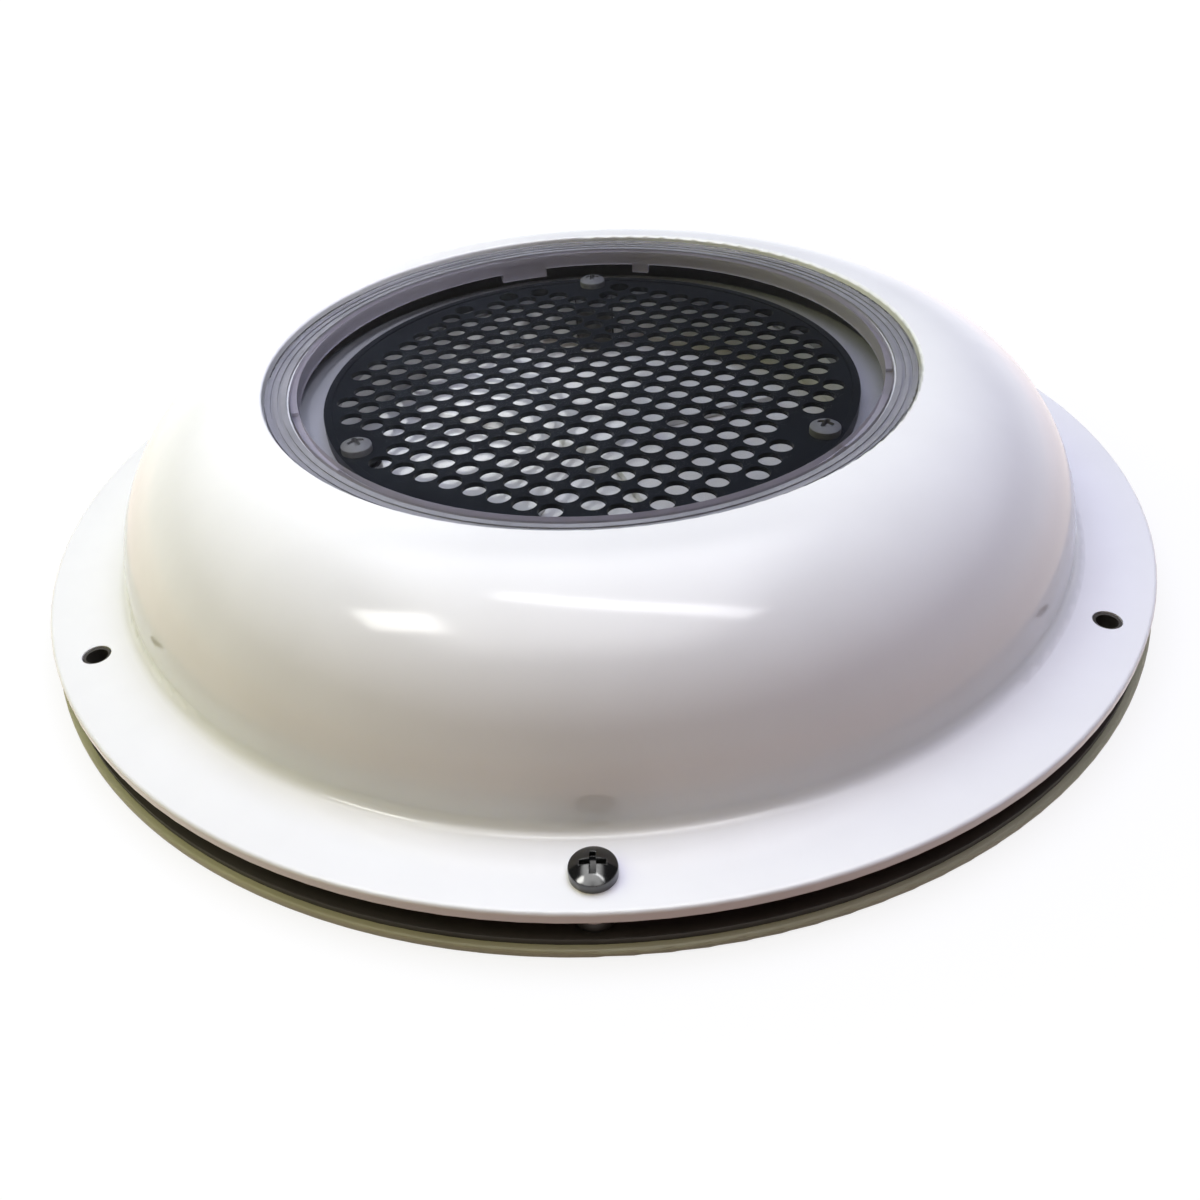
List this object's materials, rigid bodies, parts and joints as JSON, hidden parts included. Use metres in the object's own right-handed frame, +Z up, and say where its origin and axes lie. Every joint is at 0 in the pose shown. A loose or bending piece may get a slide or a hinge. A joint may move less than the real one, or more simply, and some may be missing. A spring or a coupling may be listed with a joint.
{
  "type": "caravan roof vent",
  "caption": "White domed caravan roof vent with a clear round window, an insect screen over its duct, an open edge gap under the flange and a rotary shutter turned from below.",
  "frame": {"origin": "centre of the vent on the roof face, under the roof seal", "axes": "+Z up out of the roof; the front cover screw is at -Y"},
  "size_m": [0.2166, 0.2166, 0.039],
  "materials": {
    "white_plastic": "gloss",
    "clear_plastic": "clear gloss",
    "black_plastic": "satin",
    "dark_plastic": "satin",
    "pale_rubber": "matt",
    "grey_rubber": "matt",
    "black_steel": "black coated",
    "bright_steel": "stainless"
  },
  "bodies": {
    "vent_body": {"cover": "white_plastic", "cover_bosses": "white_plastic", "window": "clear_plastic", "window_seal": "grey_rubber", "screen_ring": "dark_plastic", "insect_screen": "black_plastic", "screen_screws": "bright_steel", "duct_collar": "black_plastic", "base": "black_plastic", "base_seats": "black_plastic", "roof_seal": "pale_rubber", "cover_screws": "black_steel", "closer_frame": "white_plastic", "closer_screws": "bright_steel"},
    "shutter_unit": {"shutter": "white_plastic", "friction_washer": "bright_steel", "shutter_knob": "white_plastic", "knob_screw": "bright_steel"}
  },
  "joints": [
    {"name": "shutter_turn", "type": "hinge", "parent": "vent_body", "child": "shutter_unit", "pos_m": [0, 0, 0], "axis": [0, 0, 1], "range_deg": [0, 45]}
  ]
}
